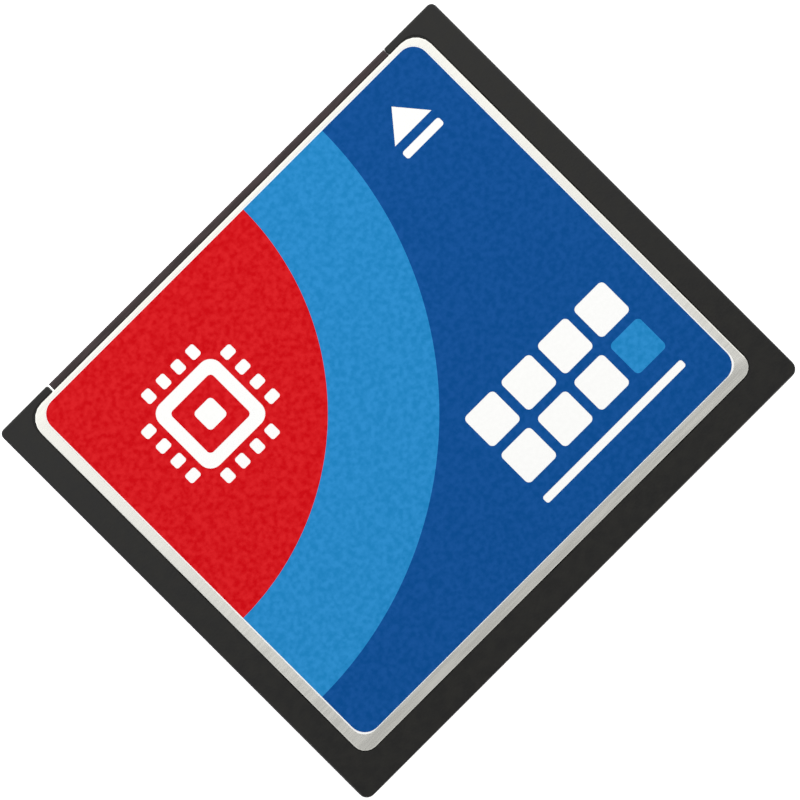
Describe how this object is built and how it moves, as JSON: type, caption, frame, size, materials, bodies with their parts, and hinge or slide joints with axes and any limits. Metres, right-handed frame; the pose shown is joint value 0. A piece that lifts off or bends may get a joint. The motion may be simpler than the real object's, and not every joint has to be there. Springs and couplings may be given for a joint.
{
  "type": "compact flash card",
  "caption": "Thin rectangular memory card with a black frame, steel covers, a colour-field label, side guide grooves and a two-row socket connector along one edge.",
  "frame": {"origin": "under the middle of the card, on the plane that its rear lip stands on", "axes": "+Z out of the label side, +Y towards the connector edge, +X to the right of the upright label"},
  "size_m": [0.0428, 0.0364, 0.0039],
  "materials": {
    "frame_plastic": "fine moulded texture",
    "cover_steel": "satin rolled sheet",
    "label_film": "satin printed film",
    "board_laminate": "solder mask",
    "connector_plastic": "moulded",
    "chip_epoxy": "moulded epoxy",
    "capacitor_case": "moulded",
    "contact_gold": "gold plated"
  },
  "bodies": {
    "root": {"top_frame": "frame_plastic", "bottom_frame": "frame_plastic", "top_cover_plate": "cover_steel", "bottom_cover_plate": "cover_steel", "front_label": "label_film", "circuit_board": "board_laminate", "connector_housing": "connector_plastic", "flash_memory_chip": "chip_epoxy", "controller_chip": "chip_epoxy", "supply_capacitor": "capacitor_case", "contact_01": "contact_gold", "contact_02": "contact_gold", "contact_03": "contact_gold", "contact_04": "contact_gold", "contact_05": "contact_gold", "contact_06": "contact_gold", "contact_07": "contact_gold", "contact_08": "contact_gold", "contact_09": "contact_gold", "contact_10": "contact_gold", "contact_11": "contact_gold", "contact_12": "contact_gold", "contact_13": "contact_gold", "contact_14": "contact_gold", "contact_15": "contact_gold", "contact_16": "contact_gold", "contact_17": "contact_gold", "contact_18": "contact_gold", "contact_19": "contact_gold", "contact_20": "contact_gold", "contact_21": "contact_gold", "contact_22": "contact_gold", "contact_23": "contact_gold", "contact_24": "contact_gold", "contact_25": "contact_gold", "contact_26": "contact_gold", "contact_27": "contact_gold", "contact_28": "contact_gold", "contact_29": "contact_gold", "contact_30": "contact_gold", "contact_31": "contact_gold", "contact_32": "contact_gold", "contact_33": "contact_gold", "contact_34": "contact_gold", "contact_35": "contact_gold", "contact_36": "contact_gold", "contact_37": "contact_gold", "contact_38": "contact_gold", "contact_39": "contact_gold", "contact_40": "contact_gold", "contact_41": "contact_gold", "contact_42": "contact_gold", "contact_43": "contact_gold", "contact_44": "contact_gold", "contact_45": "contact_gold", "contact_46": "contact_gold", "contact_47": "contact_gold", "contact_48": "contact_gold", "contact_49": "contact_gold", "contact_50": "contact_gold"}
  },
  "joints": []
}
